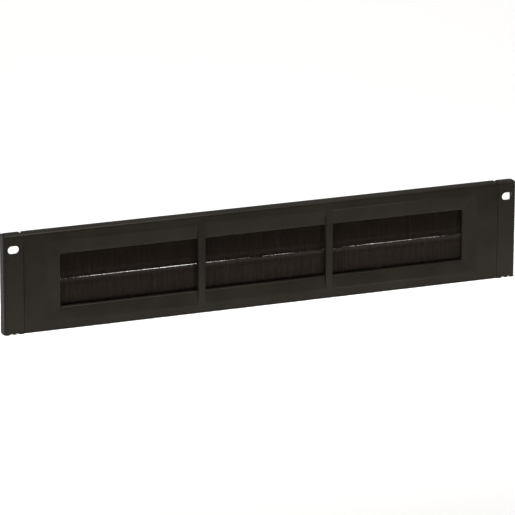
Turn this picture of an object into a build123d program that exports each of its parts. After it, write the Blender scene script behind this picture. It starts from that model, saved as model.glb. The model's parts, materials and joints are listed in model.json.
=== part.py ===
# Rack cable pass-through panel, two units high, for a nineteen inch rack.
# A moulded bezel with three windows is held between two folded steel ears. In the windows two rows of
# strip brush meet. Each strip is a crimped channel with filaments folded over a core wire, and slides in
# an extruded holder that is screwed to the back of the bezel.
# Millimetres. The origin is halfway between the two rack slots, on the rear face of the ears.
# +X runs along the panel, to the right as seen from the front, +Y to the rear and +Z up.
import os
from math import cos, pi, sin

from build123d import *

# Panel
panel_width = 482.6
panel_height = 88.1
return_depth = 10.3  # the folded and moulded edges reach this far back
edge_radius = 2.5  # outside radius of those edges
overrun = 1.0  # cuts start and end this far outside the material

# Rack slots in the ears, and the seats for the lower rack screws
slot_inset = 8.75  # slot centre in from the end of the panel
slot_drop = 13.05  # slot centre below the top edge
slot_length = 10.2
slot_height = 6.8
seat_drop = 1.15  # centre of the lower rack screw below the bottom edge
seat_radius = 2.5
seat_pitch = 5.2

# Ears, folded from sheet
ear_width = 17.6
ear_sheet = 1.5
seam_gap = 0.4
seam_corner_radius = 1.0  # lower corner of the ear beside the seam
rear_corner_radius = 2.0  # rear corners of the returns beside the seam
top_return_inset = 0.8  # the top return starts this far outside the seam edge
corner_slit = 0.8  # end of the top return to the inside of the side return
side_top_radius = 1.2  # upper edge of the side return
side_corner_radius = 3.0
seam_flange_depth = 4.0
tongue_height = 44.0
tongue_length = 17.0  # from the seam inwards, behind the bezel
ear_boss_height = 4.5
ear_screw_inset = 11.0  # from the end of the bezel
ear_screw_spacing = 28.0

# Bezel moulding
bezel_wall = 2.5
inside_radius = 0.8
bevel_margin = 8.45  # flat face left above and below the funnel
bevel_side = 14.0  # width of the funnel's slope at the two ends
bevel_depth = 1.8
bevel_soft = 1.4  # half width of the rounded shoulder at the funnel's outer edge
shoulder_steps = 3  # flats that the shoulder is made of
window_edge = 20.75  # top and bottom of the panel to the windows
window_margin = 51.65  # end of the panel to the nearest window
window_drop = 1.0  # middle of the windows below the middle of the panel
window_corner = 1.2
mullion_width = 6.1
mullion_spacing = 120.2
rim_width = 2.5
rim_depth = 5.3  # rear of the rim round the windows, from the front face
rib_thickness = 1.2
rib_clearance = 0.3  # ribs stop short of what is screwed to the bosses

# Holders, extruded
holder_overlap = 8.35  # past the windows at each end
holder_wall = 1.2
holder_setback = 2.0  # mouth of the groove above the window's edge
leg_clearance = 1.0  # leg of the holder to the bezel's return
leg_thickness = 1.5
slide_clearance = 0.15

# Strip brushes
strip_recess = 2.9  # end of a strip inside the end of its holder
butt_gap = 0.2  # between the two strips of a row
channel_width = 4.0
channel_height = 5.0
channel_sheet = 0.6
core_wire_radius = 0.7
wire_clearance = 0.05
root_clearance = 0.1  # filaments to the inside of the channel
mouth_clearance = 0.3
tuft_count = 60  # ridges along one strip
ridge_depth = 0.3
tip_gap = 0.9  # usual gap between the upper and lower tips
tip_drop = 0.6  # the tips meet this far below the middle of the windows
tip_wander = 0.12  # slow rise and fall of the cut ends
wander_length = 131.0
ripple_length = 47.0
tip_jitter = 0.12  # tuft to tuft
jitter_length = 0.48

# Screws, all of one size
screw_radius = 1.4
screw_head_radius = 2.8
screw_head_height = 1.8
screw_edge = 0.5
screw_recess_span = 3.4
screw_recess_width = 0.9
screw_recess_depth = 0.9
screw_end_gap = 0.5  # tip of a screw to the bottom of its hole
thread_clearance = 0.05
hole_clearance = 0.3
boss_radius = 3.2
boss_floor = 1.2  # front wall left under a blind hole
holder_screw_count = 5
holder_screw_margin = 28.0  # end of the holder to its first screw

# Worked out from the sizes above, with the front face at y = 0 and the middle of the panel at z = 0
half_width = panel_width / 2
half_height = panel_height / 2
seam_x = half_width - ear_width
bezel_end = seam_x - seam_gap
slot_x = half_width - slot_inset
slot_z = half_height - slot_drop
seat_z = -half_height - seat_drop
window_span = panel_width - 2 * window_margin
window_height = panel_height - 2 * window_edge
window_top = window_height / 2
funnel_x = window_span / 2 + bevel_side
funnel_z = half_height - bevel_margin
holder_length = window_span + 2 * holder_overlap
holder_screw_spacing = (holder_length - 2 * holder_screw_margin) / (holder_screw_count - 1)
strip_length = (holder_length - butt_gap) / 2 - strip_recess
bristle_thickness = channel_width - 2 * channel_sheet - 2 * root_clearance
holder_low = window_top + holder_setback
groove_width = channel_width + 2 * slide_clearance
groove_height = channel_height + 2 * slide_clearance
channel_low = holder_low + holder_wall + slide_clearance
groove_top = holder_low + holder_wall + groove_height
leg_low = groove_top + holder_wall
leg_top = half_height - bezel_wall - window_drop - leg_clearance
holder_screw_z = (leg_low + leg_top) / 2
brush_y = rim_depth + holder_wall + groove_width / 2
tongue_y = bezel_wall + ear_boss_height

middle = Pos(0, 0, -window_drop)
to_frame = Pos(0, -ear_sheet, -slot_z)


def block(x0, x1, y0, y1, z0, z1):
    return Pos((x0 + x1) / 2, (y0 + y1) / 2, (z0 + z1) / 2) * Box(x1 - x0, y1 - y0, z1 - z0)


def rod(x, z, radius, y0, y1):
    return Pos(x, (y0 + y1) / 2, z) * Rot(90, 0, 0) * Cylinder(radius, y1 - y0)


def along_x(section, x0, x1):
    return extrude(Plane.YZ.offset(x0) * section, amount=x1 - x0)


def along_z(section, z0, z1):
    return extrude(Plane.XY.offset(z0) * section, amount=z1 - z0)


def rectangle(u0, u1, v0, v1):
    return Pos((u0 + u1) / 2, (v0 + v1) / 2) * Rectangle(u1 - u0, v1 - v0)


def centred_face(width, height, y, z=0.0):
    return Plane.XZ.offset(-y) * (Pos(0, z) * Rectangle(width, height))


# Bezel

def bezel_channel():
    outside = rectangle(0, return_depth, -half_height, half_height)
    outside = fillet(outside.vertices().group_by(Axis.X)[0], edge_radius)
    inside_height = half_height - bezel_wall
    inside = rectangle(bezel_wall, 2 * return_depth, -inside_height, inside_height)
    inside = fillet(inside.vertices().group_by(Axis.X)[0], inside_radius)
    channel = along_x(outside - inside, -bezel_end, bezel_end)
    return fillet(channel.edges().filter_by(Axis.Z).group_by(Axis.Y)[-1], rear_corner_radius)


def funnel_recess():
    # The slope runs from the window's edge to the funnel's outer edge, with a parabolic shoulder there.
    slope_height = funnel_z - window_top
    faces = []
    for step in range(shoulder_steps + 1):
        inwards = 2 * bevel_soft * step / shoulder_steps
        spread = bevel_soft - inwards
        depth = bevel_depth / slope_height * inwards ** 2 / (4 * bevel_soft)
        faces.append(centred_face(2 * (funnel_x + spread), 2 * (funnel_z + spread), depth))
    faces.append(centred_face(window_span, window_height, bevel_depth, -window_drop))
    return loft(faces, ruled=True)


def funnel_back():
    rim_x = window_span / 2 + rim_width
    rim_z = window_top + rim_width
    wide = centred_face(2 * funnel_x, 2 * funnel_z, bezel_wall)
    narrow = centred_face(2 * rim_x, 2 * rim_z, bevel_depth + bezel_wall, -window_drop)
    slope = loft([wide, narrow], ruled=True)
    rim = block(-rim_x, rim_x, bezel_wall, rim_depth, -rim_z, rim_z)
    return slope + middle * rim


def windows():
    middle_end = (mullion_spacing - mullion_width) / 2
    side_start = (mullion_spacing + mullion_width) / 2
    side_end = window_span / 2
    spans = [(-side_end, -side_start), (-middle_end, middle_end), (side_start, side_end)]
    cuts = Part()
    for x0, x1 in spans:
        cut = block(x0, x1, -overrun, rim_depth + overrun, -window_top, window_top)
        cuts += fillet(cut.edges().filter_by(Axis.Y), window_corner)
    return middle * cuts


def mullion_bars():
    half = mullion_width / 2
    bars = Part()
    for x in (-mullion_spacing / 2, mullion_spacing / 2):
        bars += block(x - half, x + half, -overrun, rim_depth, -half_height, half_height)
    return bars


def holder_screw_places():
    first = -holder_screw_spacing * (holder_screw_count - 1) / 2
    return [(first + i * holder_screw_spacing, side * holder_screw_z - window_drop)
            for side in (1, -1) for i in range(holder_screw_count)]


def ear_screw_places():
    x = bezel_end - ear_screw_inset
    z = ear_screw_spacing / 2
    return [(sx * x, sz * z) for sx in (-1, 1) for sz in (-1, 1)]


def bosses(places, end_y):
    posts = Part()
    holes = Part()
    for x, z in places:
        posts += rod(x, z, boss_radius, bezel_wall / 2, end_y)
        holes += rod(x, z, screw_radius + thread_clearance, boss_floor, end_y + overrun)
    return posts, holes


def ribs():
    # A rib runs through each holder boss, from the rim to the return, and through each pair of ear bosses.
    half = rib_thickness / 2
    front = (bezel_wall + bevel_depth) / 2
    return_z = half_height - bezel_wall / 2
    walls = Part()
    for x, z in holder_screw_places():
        side = 1 if z > 0 else -1
        rim_z = side * (window_top + rim_width / 2) - window_drop
        low, high = sorted((rim_z, side * return_z))
        walls += block(x - half, x + half, front, rim_depth - rib_clearance, low, high)
    for x in sorted({x for x, z in ear_screw_places()}):
        walls += block(x - half, x + half, front, tongue_y - rib_clearance, -return_z, return_z)
    return walls


def make_bezel():
    holder_posts, holder_holes = bosses(holder_screw_places(), rim_depth)
    ear_posts, ear_holes = bosses(ear_screw_places(), tongue_y)
    body = bezel_channel() + funnel_back()
    body -= funnel_recess() - mullion_bars()
    body -= windows()
    body += holder_posts + ear_posts + ribs()
    return body - holder_holes - ear_holes


# Ears, made for the right end and mirrored for the left

def ear_outline():
    # Seen from the end: flat below, rounded where the front folds into the top return.
    outline = rectangle(0, return_depth, -half_height, half_height)
    return fillet(outline.vertices().group_by(Axis.X)[0].sort_by(Axis.Y)[-1], edge_radius)


def ear_wrap():
    # The front and the side return are one folded strip.
    outside = rectangle(seam_x, half_width, 0, return_depth)
    outside = fillet(outside.vertices().group_by(Axis.Y)[0].sort_by(Axis.X)[-1], edge_radius)
    inside = rectangle(seam_x - overrun, half_width - ear_sheet, ear_sheet, 2 * return_depth)
    inside = fillet(inside.vertices().group_by(Axis.Y)[0].sort_by(Axis.X)[-1], edge_radius - ear_sheet)
    wrap = along_z(outside - inside, -half_height, half_height)
    wrap &= along_x(ear_outline(), seam_x, half_width)
    front_view = rectangle(seam_x, half_width, -half_height, half_height)
    front_view = fillet(front_view.vertices().group_by(Axis.Y)[-1].sort_by(Axis.X)[-1], side_top_radius)
    wrap &= extrude(Plane.XZ.offset(-return_depth) * front_view, amount=return_depth)
    side_corner = wrap.edges().filter_by(Axis.X).group_by(Axis.Z)[0].sort_by(Axis.Y)[-1]
    wrap = fillet(side_corner, side_corner_radius)
    seam_corner = wrap.edges().filter_by(Axis.Y).group_by(Axis.Z)[0].sort_by(Axis.X)[0]
    return fillet(seam_corner, seam_corner_radius)


def ear_top():
    inside = rectangle(ear_sheet, 2 * return_depth, -panel_height, half_height - ear_sheet)
    inside = fillet(inside.vertices().group_by(Axis.X)[0].sort_by(Axis.Y)[-1], edge_radius - ear_sheet)
    below_fold = rectangle(-overrun, 2 * return_depth, -panel_height, half_height - edge_radius)
    section = ear_outline() - inside - below_fold
    top = along_x(section, seam_x + top_return_inset, half_width - ear_sheet - corner_slit)
    seam_corner = top.edges().filter_by(Axis.Z).group_by(Axis.Y)[-1].sort_by(Axis.X)[0]
    return fillet(seam_corner, rear_corner_radius)


def ear_tongue():
    # An angle bracket, welded on behind the seam edge of the ear. It backs the seam over its height
    # and reaches in behind the bezel.
    rear = tongue_y + ear_sheet
    outside = rectangle(seam_x - tongue_length, seam_x + ear_sheet, ear_sheet / 2, rear)
    outside = fillet(outside.vertices().group_by(Axis.Y)[-1].sort_by(Axis.X)[-1], edge_radius)
    inside = rectangle(seam_x - 2 * tongue_length, seam_x, -overrun, tongue_y)
    inside = fillet(inside.vertices().group_by(Axis.Y)[-1].sort_by(Axis.X)[-1], edge_radius - ear_sheet)
    tongue = along_z(outside - inside, -tongue_height / 2, tongue_height / 2)
    flange_z = half_height - edge_radius
    flange_x = (seam_x, seam_x + ear_sheet)
    return tongue + block(*flange_x, ear_sheet / 2, seam_flange_depth, -flange_z, flange_z)


def make_ear():
    ear = ear_wrap() + ear_top() + ear_tongue()
    slot = Plane.XZ.offset(-2 * ear_sheet) * SlotOverall(slot_length, slot_height)
    ear -= Pos(slot_x, 0, slot_z) * extrude(slot, amount=4 * ear_sheet)
    for side in (-1, 1):
        ear -= rod(slot_x + side * seat_pitch / 2, seat_z, seat_radius, -ear_sheet, 2 * ear_sheet)
    hole_radius = screw_radius + hole_clearance
    for x, z in ear_screw_places():
        if x > 0:
            ear -= rod(x, z, hole_radius, tongue_y - overrun, tongue_y + ear_sheet + overrun)
    return ear


# Holders and strip brushes, made for the upper row about the windows' middle and mirrored for the lower

def make_holder():
    front = rim_depth
    rear = front + 2 * holder_wall + groove_width
    section = rectangle(front, rear, holder_low, leg_low)
    section -= rectangle(front + holder_wall, rear - holder_wall, holder_low + holder_wall, groove_top)
    mouth = bristle_thickness / 2 + mouth_clearance
    section -= rectangle(brush_y - mouth, brush_y + mouth, holder_low - overrun, holder_low + holder_wall)
    section += rectangle(front, front + leg_thickness, leg_low, leg_top)
    holder = along_x(section, -holder_length / 2, holder_length / 2)
    hole_radius = screw_radius + hole_clearance
    for x, z in holder_screw_places():
        if z > 0:
            holder -= rod(x, holder_screw_z, hole_radius, front - overrun, front + leg_thickness + overrun)
    return holder


def strip_span(side):
    inner = side * butt_gap / 2
    outer = side * (butt_gap / 2 + strip_length)
    return min(inner, outer), max(inner, outer)


def wire_z():
    inside_top = channel_low + channel_height - channel_sheet
    return inside_top - root_clearance - bristle_thickness / 2


def make_channel(side):
    x0, x1 = strip_span(side)
    half = channel_width / 2
    section = rectangle(brush_y - half, brush_y + half, channel_low, channel_low + channel_height)
    section = fillet(section.vertices().group_by(Axis.Y)[-1], channel_sheet)
    inner = half - channel_sheet
    inner_top = channel_low + channel_height - channel_sheet
    section -= rectangle(brush_y - inner, brush_y + inner, channel_low - overrun, inner_top)
    return along_x(section, x0, x1)


def make_core_wire(side):
    x0, x1 = strip_span(side)
    section = Pos(brush_y, wire_z()) * Circle(core_wire_radius)
    return along_x(section, x0, x1)


def tip_height(x, row):
    # Half the gap, with a slow wander along the strip and a tuft to tuft jitter.
    turn = 2 * pi * x
    wander = tip_wander * (sin(turn / wander_length + row) + sin(turn / ripple_length + 2 * row) / 2)
    jitter = tip_jitter * sin(turn / jitter_length + 4 * row) * cos(x + row)
    return tip_gap / 2 + wander + jitter - row * tip_drop


def make_bristles(side, row):
    x0, x1 = strip_span(side)
    pitch = (x1 - x0) / tuft_count
    half = bristle_thickness / 2
    root = channel_low + channel_height - channel_sheet - root_clearance
    valleys = [x0 + i * pitch for i in range(tuft_count + 1)]
    crests = [x + pitch / 2 for x in valleys[:-1]]
    edge = sorted([(x, half - ridge_depth) for x in valleys] + [(x, half) for x in crests])
    outline = [(x, brush_y - d) for x, d in edge] + [(x, brush_y + d) for x, d in reversed(edge)]
    curtain = along_z(make_face(Polyline(*outline, close=True)), -window_top, root)
    tips = [(x, tip_height(x, row)) for x in sorted(valleys + crests)]
    elevation = make_face(Polyline(*tips, (x1, root), (x0, root), close=True))
    curtain &= extrude(Plane.XZ.offset(-brush_y - channel_width) * elevation, amount=2 * channel_width)
    wire_hole = Pos(brush_y, wire_z()) * Circle(core_wire_radius + wire_clearance)
    return curtain - along_x(wire_hole, x0 - overrun, x1 + overrun)


# Screws

def make_screw(length):
    # Pan head with a cross recess, standing on z = 0 with its shank below.
    head = Pos(0, 0, screw_head_height / 2) * Cylinder(screw_head_radius, screw_head_height)
    head = fillet(head.edges().group_by(Axis.Z)[-1], screw_edge)
    cross = Box(screw_recess_span, screw_recess_width, 2 * screw_recess_depth)
    cross += Rot(0, 0, 90) * cross
    shank = Pos(0, 0, -length / 2) * Cylinder(screw_radius, length)
    return head - Pos(0, 0, screw_head_height) * cross + shank


def screws(places, seat_y):
    depth = seat_y - boss_floor - screw_end_gap
    screw = Rot(-90, 0, 0) * make_screw(depth)
    return Compound([Pos(x, seat_y, z) * screw for x, z in places])


nodes = {}
nodes["bezel"] = make_bezel()
right_ear = make_ear()
nodes["ear_right"] = right_ear
nodes["ear_left"] = mirror(right_ear, about=Plane.YZ)
nodes["ear_screws"] = screws(ear_screw_places(), tongue_y + ear_sheet)
holder = make_holder()
nodes["holder_upper"] = middle * holder
nodes["holder_lower"] = middle * mirror(holder, about=Plane.XY)
nodes["holder_screws"] = screws(holder_screw_places(), rim_depth + leg_thickness)
for side_name, side in (("left", -1), ("right", 1)):
    strip = {"channel": make_channel(side), "core_wire": make_core_wire(side)}
    for piece, shape in strip.items():
        nodes[f"{piece}_upper_{side_name}"] = middle * shape
        nodes[f"{piece}_lower_{side_name}"] = middle * mirror(shape, about=Plane.XY)
    nodes[f"bristles_upper_{side_name}"] = middle * make_bristles(side, 1)
    nodes[f"bristles_lower_{side_name}"] = middle * mirror(make_bristles(side, -1), about=Plane.XY)

os.makedirs("parts", exist_ok=True)
for name, shape in nodes.items():
    export_step(to_frame * shape, f"parts/{name}.step")
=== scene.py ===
import json
import math

import bmesh
import bpy
import numpy as np
from mathutils import Matrix, Vector


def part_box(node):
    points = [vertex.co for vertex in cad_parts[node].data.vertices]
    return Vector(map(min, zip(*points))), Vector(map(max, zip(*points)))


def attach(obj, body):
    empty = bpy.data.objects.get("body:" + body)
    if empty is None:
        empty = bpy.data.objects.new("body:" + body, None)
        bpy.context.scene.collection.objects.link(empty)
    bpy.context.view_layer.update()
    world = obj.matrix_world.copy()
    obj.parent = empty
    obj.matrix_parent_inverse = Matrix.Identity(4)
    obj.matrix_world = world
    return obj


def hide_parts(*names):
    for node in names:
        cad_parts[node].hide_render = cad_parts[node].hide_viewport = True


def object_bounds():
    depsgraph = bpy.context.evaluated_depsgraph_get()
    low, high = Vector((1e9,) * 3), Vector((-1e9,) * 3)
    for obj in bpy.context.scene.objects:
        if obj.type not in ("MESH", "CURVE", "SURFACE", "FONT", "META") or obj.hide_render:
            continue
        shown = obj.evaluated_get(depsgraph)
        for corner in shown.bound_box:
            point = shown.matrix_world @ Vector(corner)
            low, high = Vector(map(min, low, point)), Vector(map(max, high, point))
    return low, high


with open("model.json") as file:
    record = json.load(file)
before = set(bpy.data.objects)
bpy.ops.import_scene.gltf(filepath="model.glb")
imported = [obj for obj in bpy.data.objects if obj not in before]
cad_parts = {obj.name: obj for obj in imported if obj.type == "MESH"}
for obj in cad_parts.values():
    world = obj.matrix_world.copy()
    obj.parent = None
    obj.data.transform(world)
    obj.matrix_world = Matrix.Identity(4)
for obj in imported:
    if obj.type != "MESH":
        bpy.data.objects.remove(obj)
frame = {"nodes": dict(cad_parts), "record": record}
cadLow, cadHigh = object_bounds()
nodes = frame["nodes"]
mm = 0.001
rng = np.random.default_rng(19)
print("frame loaded:", len(nodes), "nodes")


# sRGB hex to linear, alpha 1
def linearColour(hexCode):
    parts = np.array([int(hexCode[i:i + 2], 16) for i in (1, 3, 5)]) / 255
    curve = np.where(parts <= 0.04045, parts / 12.92, ((parts + 0.055) / 1.055) ** 2.4)
    return (*curve.tolist(), 1.0)


# one shader node: settings go to its properties or sockets, links feed its sockets
def addNode(tree, kind, settings=None, links=None):
    node = tree.nodes.new(kind)
    for key, value in (settings or {}).items():
        if key == "stops":  # a colour ramp's ends, each a place from 0 to 1 and a hex colour
            for stop, (place, hexCode) in zip(node.color_ramp.elements, value):
                stop.position = place
                stop.color = linearColour(hexCode)
        elif hasattr(node, key):
            setattr(node, key, value)
        else:
            node.inputs[key].default_value = value
    for key, socket in (links or {}).items():
        tree.links.new(socket, node.inputs[key])
    return node


def newMaterial(name, settings):
    material = bpy.data.materials.new(name)
    material.use_nodes = True
    shader = material.node_tree.nodes["Principled BSDF"]
    for key, value in settings.items():
        shader.inputs[key].default_value = value
    return material, material.node_tree, shader


# what the black plastics and coats share: a little warm gloss over the pigment
def satinSettings(finish):
    return {"Roughness": finish["roughness"], "IOR": finish["ior"], "Specular IOR Level": finish["gloss"],
            "Specular Tint": linearColour(finish["warmth"])}


def metalSettings(finish):
    return {"Metallic": 1.0, "Roughness": finish["roughness"]}


noiseSpan = (0.3, 0.7)  # most of a noise texture lies between these
fullSpan = (0.0, 1.0)


def stopsOver(span, finish):
    return list(zip(span, (finish["dark"], finish["light"])))


# the shader's colour and, where the finish has one, its bump
def feedShader(tree, shader, colour, bump=None):
    tree.links.new(colour.outputs["Color"], shader.inputs["Base Color"])
    if bump is not None:
        tree.links.new(bump.outputs["Normal"], shader.inputs["Normal"])


absFinish = dict(dark="#13110e", light="#1a1713", grain=0.9 * mm, mottle=35 * mm, bump=0.03 * mm,
                 bumpShare=0.6, roughness=0.42, ior=1.53, gloss=0.066, warmth="#fff0dc")


# ABS moulded in a spark-eroded tool: satin black, with a faint even grain that softens what it mirrors
# the real grain of about 0.2 mm is drawn 0.9 mm wide so that it shows
def mouldedAbs(finish):
    material, tree, shader = newMaterial("mouldedAbs", satinSettings(finish))
    place = addNode(tree, "ShaderNodeTexCoord").outputs["Object"]
    mottle = addNode(tree, "ShaderNodeTexNoise", {"Scale": 1 / finish["mottle"], "Detail": 3.0},
                     {"Vector": place})
    grain = addNode(tree, "ShaderNodeTexNoise", {"Scale": 1 / finish["grain"], "Detail": 2.0},
                    {"Vector": place})
    bump = addNode(tree, "ShaderNodeBump", {"Strength": finish["bumpShare"], "Distance": finish["bump"]},
                   {"Height": grain.outputs["Fac"]})
    colour = addNode(tree, "ShaderNodeValToRGB", {"stops": stopsOver(noiseSpan, finish)},
                     {"Fac": mottle.outputs["Fac"]})
    feedShader(tree, shader, colour, bump)
    return material


coatFinish = dict(dark="#13110e", light="#1a1713", peel=1.6 * mm, bump=0.05 * mm, bumpShare=0.5,
                  roughness=0.46, ior=1.53, gloss=0.080, warmth="#fff0dc")


# black polyester powder coat on steel: an even skin with the slow ripple of orange peel
def powderCoat(finish):
    material, tree, shader = newMaterial("powderCoat", satinSettings(finish))
    place = addNode(tree, "ShaderNodeTexCoord").outputs["Object"]
    peel = addNode(tree, "ShaderNodeTexNoise", {"Scale": 1 / finish["peel"], "Detail": 1.0},
                   {"Vector": place})
    bump = addNode(tree, "ShaderNodeBump", {"Strength": finish["bumpShare"], "Distance": finish["bump"]},
                   {"Height": peel.outputs["Fac"]})
    colour = addNode(tree, "ShaderNodeValToRGB", {"stops": stopsOver(noiseSpan, finish)},
                     {"Fac": peel.outputs["Fac"]})
    feedShader(tree, shader, colour, bump)
    return material


nylonFinish = dict(dark="#0e0704", light="#2f2927", roughness=0.42, ior=1.53, gloss=0.115, warmth="#ffe8d0")


# black nylon filament, extruded and cut: a soft sheen along each one, and no two quite the same black; its
# colour also holds painted shade, darker on the upper strips and lighter on the lower
def nylonFilament(finish):
    material, tree, shader = newMaterial("nylonFilament", satinSettings(finish))
    shade = addNode(tree, "ShaderNodeAttribute", {"attribute_name": "shade"})
    colour = addNode(tree, "ShaderNodeValToRGB", {"stops": stopsOver(fullSpan, finish)},
                     {"Fac": shade.outputs["Fac"]})
    feedShader(tree, shader, colour)
    return material


extrusionFinish = dict(dark="#8f9194", light="#b4b6b8", line=0.5 * mm, run=90 * mm, bump=0.02 * mm,
                       bumpShare=0.25, roughness=0.36)


# extruded aluminium, unpolished: fine die lines along its length
def extrudedAluminium(finish):
    material, tree, shader = newMaterial("extrudedAluminium", metalSettings(finish))
    place = addNode(tree, "ShaderNodeTexCoord").outputs["Object"]
    stretch = addNode(tree, "ShaderNodeMapping",
                      {"Scale": (1 / finish["run"], 1 / finish["line"], 1 / finish["line"])},
                      {"Vector": place})
    lines = addNode(tree, "ShaderNodeTexNoise", {"Scale": 1.0, "Detail": 3.0},
                    {"Vector": stretch.outputs["Vector"]})
    bump = addNode(tree, "ShaderNodeBump", {"Strength": finish["bumpShare"], "Distance": finish["bump"]},
                   {"Height": lines.outputs["Fac"]})
    colour = addNode(tree, "ShaderNodeValToRGB", {"stops": stopsOver(noiseSpan, finish)},
                     {"Fac": lines.outputs["Fac"]})
    feedShader(tree, shader, colour, bump)
    return material


stripFinish = dict(dark="#84888c", light="#a9adb0", spangle=4 * mm, roughness=0.42)


# galvanised steel strip: pale zinc with a faint spangle of crystals
def galvanisedStrip(finish):
    material, tree, shader = newMaterial("galvanisedStrip", metalSettings(finish))
    place = addNode(tree, "ShaderNodeTexCoord").outputs["Object"]
    spangle = addNode(tree, "ShaderNodeTexVoronoi", {"Scale": 1 / finish["spangle"]}, {"Vector": place})
    grey = addNode(tree, "ShaderNodeRGBToBW", links={"Color": spangle.outputs["Color"]})
    colour = addNode(tree, "ShaderNodeValToRGB", {"stops": stopsOver(fullSpan, finish)},
                     {"Fac": grey.outputs["Val"]})
    feedShader(tree, shader, colour)
    return material


screwFinish = dict(dark="#9fa2a4", light="#c6c8c9", cloud=1.2 * mm, roughness=0.28)


# bright zinc plate on steel screws: cool grey, a little clouded
def zincPlate(finish):
    material, tree, shader = newMaterial("zincPlate", metalSettings(finish))
    place = addNode(tree, "ShaderNodeTexCoord").outputs["Object"]
    cloud = addNode(tree, "ShaderNodeTexNoise", {"Scale": 1 / finish["cloud"], "Detail": 2.0},
                    {"Vector": place})
    colour = addNode(tree, "ShaderNodeValToRGB", {"stops": stopsOver(noiseSpan, finish)},
                     {"Fac": cloud.outputs["Fac"]})
    feedShader(tree, shader, colour)
    return material


materials = {
    "black_abs": mouldedAbs(absFinish),
    "coated_steel": powderCoat(coatFinish),
    "nylon_bristle": nylonFilament(nylonFinish),
    "holder_aluminium": extrudedAluminium(extrusionFinish),
    "strip_steel": galvanisedStrip(stripFinish),
    "zinc_screw": zincPlate(screwFinish),
}
slotOf = {part["node"]: part["material_slot"] for part in frame["record"]["subparts"]}
print("materials:", len(materials))


# links the finished mesh of a node into the scene, gives it its material, attaches it to the root and hides
# the node it stands for
def addPiece(mesh, node):
    piece = bpy.data.objects.new(mesh.name, mesh)
    bpy.context.scene.collection.objects.link(piece)
    mesh.materials.clear()
    mesh.materials.append(materials[slotOf[node]])
    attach(piece, "root")
    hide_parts(node)
    return piece


# edge break of each made piece
eased = {
    "bezel": 0.20 * mm,
    "ear_left": 0.15 * mm, "ear_right": 0.15 * mm,
    "holder_upper": 0.15 * mm, "holder_lower": 0.15 * mm,
    "ear_screws": 0.0, "holder_screws": 0.0,  # rounded as they are
}
easing = dict(sharpAngle=math.radians(32), flatAngle=math.radians(0.3), weld=0.002 * mm,
              shortest=4 * mm, segments=2)
# the edges round the windows, at the bottom of the funnel, are rounder than the rest
lip = dict(radius=1.5 * mm, funnelDepth=1.8 * mm, near=0.15 * mm, shortest=20 * mm, segments=4)


# rounds over the sharp edges that are long enough and that wanted() keeps
def roundEdges(shape, radius, shortest, segments, wanted=lambda edge: True):
    chosen = [edge for edge in shape.edges if edge.calc_length() > shortest
              and edge.calc_face_angle(0) > easing["sharpAngle"] and wanted(edge)]
    bmesh.ops.bevel(shape, geom=chosen, offset=radius, offset_type="OFFSET", affect="EDGES",
                    segments=segments, profile=0.5, clamp_overlap=False)
    return len(chosen)


def onLip(edge):
    level = cadLow.y + lip["funnelDepth"]
    return all(abs(vert.co.y - level) < lip["near"] for vert in edge.verts)


# a merged copy of a solid, its long sharp edges rounded over as moulding, coating and sawing leave them
def easedCopy(node, edge):
    shape = bmesh.new()
    shape.from_mesh(nodes[node].data)
    bmesh.ops.remove_doubles(shape, verts=shape.verts, dist=easing["weld"])
    bmesh.ops.dissolve_limit(shape, angle_limit=easing["flatAngle"], verts=shape.verts, edges=shape.edges)
    rounded = 0
    if node == "bezel":
        rounded += roundEdges(shape, lip["radius"], lip["shortest"], lip["segments"], onLip)
    if edge > 0:
        rounded += roundEdges(shape, edge, easing["shortest"], easing["segments"])
    for face in shape.faces:
        face.smooth = True
    mesh = bpy.data.meshes.new(node + "_finished")
    shape.to_mesh(mesh)
    shape.free()
    mesh.set_sharp_from_angle(angle=easing["sharpAngle"])
    normals = addPiece(mesh, node).modifiers.new("normals", "WEIGHTED_NORMAL")
    normals.keep_sharp = True
    print(node, "edges rounded:", rounded)


for node, edge in eased.items():
    easedCopy(node, edge)
print("eased copies:", len(eased))

brush = dict(
    layers=8, across=650, diameter=0.32 * mm, sides=3, spans=4,
    placeSpread=0.3, widthSpread=0.1,  # shares of the diameter
    rootInside=1.0 * mm,  # filaments start this far inside the channel
    jointFill=0.18 * mm,  # the end filaments spread over the joint of the two strips
    meetDrop=0.6 * mm,  # the rows meet this far below the middle of the windows
    tufts=60, tuftDepth=0.30 * mm,  # as on the solid: ridges along a strip and the valleys between them
    backSpread=0.03 * mm, sideSpread=0.06 * mm, tipSpread=0.12 * mm, twist=0.08,  # of single filaments
    clumpLean=0.22 * mm, leanRun=8 * mm, clumpTip=0.14 * mm, clumpRun=1.9 * mm,  # of filaments together
    strays=5, strayLean=4.0 * mm,  # a few of the front row are splayed
    shade=dict(upper=0.13, lower=0.41),  # painted light and shade: both rows are the same black, but the lower strips get a lighter colour and the upper a darker one, for the light on the lower strips and the shade under the window's top edge
    tuftShade=0.05, shadeRun=5 * mm, ownShade=0.04,  # how far tufts and single filaments stray from it
    phase=1.0, upperPhase=2.3, leftPhase=1.1,  # so that no two strips wave alike
    # places along the panel and the clear gap between the rows there, in mm
    # set so that the light line through the gap swells and thins as in the picture
    gapLeft=[(-195, 0.58), (-174, 0.60), (-164, 0.78), (-150, 0.90), (-140, 0.85), (-122, 0.98),
             (-114, 0.88), (-90, 1.06), (-70, 0.96), (-58, 0.75), (-40, 0.85), (-28, 0.66),
             (-14, 0.60), (0, 0.45)],
    gapRight=[(0, 0.68), (22, 0.76), (32, 0.60), (50, 0.54), (76, 0.57), (92, 0.73), (106, 0.86),
              (124, 0.73), (142, 0.80), (152, 0.62), (162, 0.78), (174, 0.60), (195, 0.52)],
)
opening = frame["record"]["physics"]["openings"][0]["box_m"]
windowMiddle = (opening[0][2] + opening[1][2]) / 2
meetHeight = windowMiddle - brush["meetDrop"]
waveSines = [(1.0, 1.0), (1.73, 2.1), (0.61, 0.7)]  # how fast each sine runs, and its share of the phase


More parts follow.
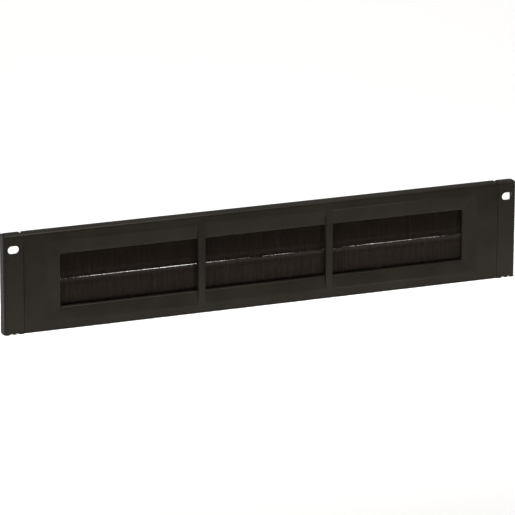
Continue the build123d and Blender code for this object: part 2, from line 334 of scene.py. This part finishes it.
# a smooth wavy value along x, from -1 to 1: the mean of three sines of unlike length, so it does not repeat
def wave(x, length, phase):
    turns = 2 * np.pi * x / length
    return sum(np.sin(speed * turns + share * phase) for speed, share in waveSines) / len(waveSines)


# filaments: thin three sided prisms, each swept along a bowed line from its root to its tip
# point = root + s * (tip - root) with the sideways part eased by s squared, since the root is clamped
def filamentMesh(name, roots, tips, radii, toneAndPaintedShades):
    count = len(roots)
    share = np.linspace(0, 1, brush["spans"] + 1)
    sideways = (share ** 2)[None, :, None] * (tips - roots)[:, None, :2]
    upwards = share[None, :, None] * (tips - roots)[:, None, 2:]
    path = roots[:, None, :] + np.concatenate([sideways, upwards], axis=2)
    angle = 2 * np.pi * np.arange(brush["sides"]) / brush["sides"] - np.pi / 2  # one corner to the front
    angle = angle + rng.normal(0, brush["twist"], (count, 1))
    ring = np.stack([np.cos(angle), np.sin(angle), np.zeros_like(angle)], axis=2) * radii[:, None, None]
    points = path[:, :, None, :] + ring[:, None, :, :]
    index = np.arange(points[..., 0].size).reshape(points.shape[:3])
    onward = np.roll(index, -1, axis=2)
    walls = np.stack([index[:, :-1], onward[:, :-1], onward[:, 1:], index[:, 1:]], axis=3).reshape(-1, 4)
    ends = np.concatenate([index[:, 0, ::-1], index[:, -1]])
    if tips[0, 2] < roots[0, 2]:  # a hanging filament runs downwards, so its faces turn round
        walls = walls[:, ::-1]
        ends = ends[:, ::-1]
    mesh = bpy.data.meshes.new(name)
    mesh.from_pydata(points.reshape(-1, 3).tolist(), [], walls.tolist() + ends.tolist())
    # each filament's tone, with its row's painted shade or light in it
    shade = mesh.attributes.new("shade", "FLOAT", "POINT")
    shade.data.foreach_set("value", np.repeat(toneAndPaintedShades, points.shape[1] * points.shape[2]))
    mesh.polygons.foreach_set("use_smooth", np.ones(len(mesh.polygons), bool))
    return mesh


# filaments stand in dense layers, the front and rear ones on the tufts' ridges and valleys
def brushStrip(row, side):
    node = f"bristles_{row}_{side}"
    low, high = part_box(node)
    channelLow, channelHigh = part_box(f"channel_{row}_{side}")
    up = 1 if row == "upper" else -1
    rootHeight = channelLow.z + brush["rootInside"] if up > 0 else channelHigh.z - brush["rootInside"]
    radius = brush["diameter"] / 2
    left = low.x + radius - brush["jointFill"] * (side == "right")
    right = high.x - radius + brush["jointFill"] * (side == "left")
    layer = np.repeat(np.arange(brush["layers"]), brush["across"])
    count = len(layer)
    x = np.tile(np.linspace(left, right, brush["across"]), brush["layers"])
    x = x + (layer % 2) * (right - left) / brush["across"] / 2  # every other layer fills the last one's gaps
    jitter = rng.uniform(-brush["placeSpread"], brush["placeSpread"], count)
    x = np.clip(x + jitter * brush["diameter"], left, right)
    turn = (x - low.x) / (high.x - low.x) * brush["tufts"]
    valley = brush["tuftDepth"] * np.abs(2 * (turn % 1) - 1)
    thickness = high.y - low.y - 2 * valley - 2 * radius
    y = low.y + valley + radius + thickness * layer / (brush["layers"] - 1)
    y = np.clip(y + rng.normal(0, brush["backSpread"], count), low.y + radius, high.y - radius)
    roots = np.column_stack([x, y, np.full(count, rootHeight)])
    phase = brush["phase"] + brush["upperPhase"] * (up > 0) + brush["leftPhase"] * (side == "left")
    places, gaps = np.array(brush["gapLeft"] if side == "left" else brush["gapRight"]).T * mm
    tipLine = meetHeight + up * np.interp(x, places, gaps) / 2
    tipLine = tipLine + brush["clumpTip"] * wave(x, brush["clumpRun"], phase)
    tipLine = tipLine + rng.normal(0, brush["tipSpread"], count)
    lean = brush["clumpLean"] * wave(x, brush["leanRun"], phase) + rng.normal(0, brush["sideSpread"], count)
    tips = np.column_stack([np.clip(x + lean, left, right), y, tipLine])
    stray = rng.choice(brush["across"], brush["strays"], replace=False)
    splay = rng.uniform(-1, 1, brush["strays"]) * brush["strayLean"]
    tips[stray, 0] = np.clip(x[stray] + splay, left, right)
    roots[stray, 1] = tips[stray, 1] = low.y + radius
    # painted shade and light: each row starts from its own black, darker for the upper strips and lighter
    # for the lower, then tufts and filaments vary it at random
    toneAndPaintedShades = brush["shade"][row] + brush["tuftShade"] * wave(x, brush["shadeRun"], 2 * phase)
    toneAndPaintedShades = toneAndPaintedShades + rng.normal(0, brush["ownShade"], count)
    radii = radius * rng.uniform(1 - brush["widthSpread"], 1 + brush["widthSpread"], count)
    mesh = filamentMesh(f"filaments_{row}_{side}", roots, tips, radii, np.clip(toneAndPaintedShades, 0, 1))
    addPiece(mesh, node)


strips = [(row, side) for row in ("upper", "lower") for side in ("left", "right")]
for row, side in strips:
    brushStrip(row, side)
print("filaments:", len(strips) * brush["layers"] * brush["across"])

for name, node in nodes.items():  # solids that stay as they are
    if not node.hide_render:
        node.data.materials.clear()
        node.data.materials.append(materials[slotOf[name]])

floorSheet = dict(half=6.0, dark="#f0efed", light="#f2f1ef", grain=2 * mm, roughness=0.75, gloss=0.2)


# white paper sweep, matt
def floorPaper(sheet):
    material, tree, shader = newMaterial("floorPaper", {
        "Roughness": sheet["roughness"], "Specular IOR Level": sheet["gloss"]})
    place = addNode(tree, "ShaderNodeTexCoord").outputs["Object"]
    fibre = addNode(tree, "ShaderNodeTexNoise", {"Scale": 1 / sheet["grain"], "Detail": 2.0},
                    {"Vector": place})
    colour = addNode(tree, "ShaderNodeValToRGB", {"stops": stopsOver(noiseSpan, sheet)},
                     {"Fac": fibre.outputs["Fac"]})
    feedShader(tree, shader, colour)
    return material


reach = floorSheet["half"]
corners = [(-reach, -reach), (reach, -reach), (reach, reach), (-reach, reach)]
floorMesh = bpy.data.meshes.new("floor")
floorMesh.from_pydata([(x, y, cadLow.z) for x, y in corners], [], [(0, 1, 2, 3)])
floorMesh.materials.append(floorPaper(floorSheet))
floor = bpy.data.objects.new("floor", floorMesh)
bpy.context.scene.collection.objects.link(floor)

# a broad soft light overhead, a smaller one before it and a dim card behind the panel, for the edges
# a low card on the paper fills the foot of the panel, and three lamps keep the paper itself white
lamps = {
    "overhead": dict(place=(0.0, 0.25, 1.5), aim=(0.0, 0.25, 0.0), size=(3.6, 2.8), power=33.0),
    "key": dict(place=(0.05, -0.40, 1.05), aim=(0.0, 0.0, -0.03), size=(0.5, 0.4), power=21.0,
                only="panel"),
    "bounce": dict(place=(0.0, -0.036, -0.0747), aim=(0.0, -0.036, 1.0), size=(1.0, 0.066), power=0.24,
                   only="panel"),
    "card": dict(place=(0.5, 1.5, 0.45), aim=(0.0, 0.0, 0.0), size=(2.4, 0.8), power=1.4),
    "wash": dict(place=(0.0, 0.5, 2.4), aim=(0.0, 0.5, 0.0), size=(6.0, 6.0), power=79.0, only="floor"),
    "far": dict(place=(0.0, 2.3, 1.6), aim=(0.0, 2.3, 0.0), size=(5.0, 1.5), power=14.0, only="floor"),
    "foot": dict(place=(0.0, -0.07, 0.14), aim=(0.0, -0.065, -0.07), size=(1.0, 0.07), power=2.4,
                 only="floor"),
}
pieces = [thing for thing in bpy.data.objects if thing.type == "MESH" and thing != floor]
lit = {}  # what a lamp that lights only the floor or only the panel shines on
for name, things in {"floor": [floor], "panel": pieces}.items():
    lit[name] = bpy.data.collections.new(name + "Only")
    for thing in things:
        lit[name].objects.link(thing)


def softbox(name, lamp):
    light = bpy.data.lights.new(name, "AREA")
    light.shape = "RECTANGLE"
    light.size, light.size_y = lamp["size"]
    light.energy = lamp["power"]
    holder = bpy.data.objects.new(name, light)
    holder.location = lamp["place"]
    beam = Vector(lamp["aim"]) - Vector(lamp["place"])
    holder.rotation_euler = beam.to_track_quat("-Z", "Y").to_euler()
    bpy.context.scene.collection.objects.link(holder)
    holder.visible_camera = False
    if "only" in lamp:
        holder.light_linking.receiver_collection = lit[lamp["only"]]


for name, lamp in lamps.items():
    softbox(name, lamp)

room = dict(colour="#ffffff", strength=0.05)
world = bpy.data.worlds.new("room")
world.use_nodes = True
world.node_tree.nodes["Background"].inputs["Color"].default_value = linearColour(room["colour"])
world.node_tree.nodes["Background"].inputs["Strength"].default_value = room["strength"]
bpy.context.scene.world = world
bpy.context.scene.view_settings.view_transform = "Standard"
print("lamps:", len(lamps))

# a long lens from the left and above, worked out from the panel's known size in the picture
# it looks at a point on the front face, this far right of the middle and below the top edge
shot = dict(azimuth=23.09, elevation=15.90, roll=0.223, distance=3.6575, right=-8.19 * mm, below=43.67 * mm,
            focalPixels=4213.6, framePixels=515, sensor=36.0, clip=50.0)


def placeCamera(shot):
    turn, rise, roll = (math.radians(shot[key]) for key in ("azimuth", "elevation", "roll"))
    forward = Vector((math.sin(turn) * math.cos(rise), math.cos(turn) * math.cos(rise), -math.sin(rise)))
    level = Vector((math.cos(turn), -math.sin(turn), 0.0))
    upright = level.cross(forward)
    right = level * math.cos(roll) + upright * math.sin(roll)
    up = upright * math.cos(roll) - level * math.sin(roll)
    camera = bpy.data.objects.new("camera", bpy.data.cameras.new("camera"))
    camera.data.sensor_width = shot["sensor"]
    camera.data.lens = shot["focalPixels"] / shot["framePixels"] * shot["sensor"]
    camera.data.clip_end = shot["clip"]
    place = Matrix((right, up, -forward)).transposed().to_4x4()
    aim = Vector((shot["right"], cadLow.y, cadHigh.z - shot["below"]))
    place.translation = aim - forward * shot["distance"]
    camera.matrix_world = place
    bpy.context.scene.collection.objects.link(camera)
    bpy.context.scene.camera = camera


placeCamera(shot)
print("camera placed")
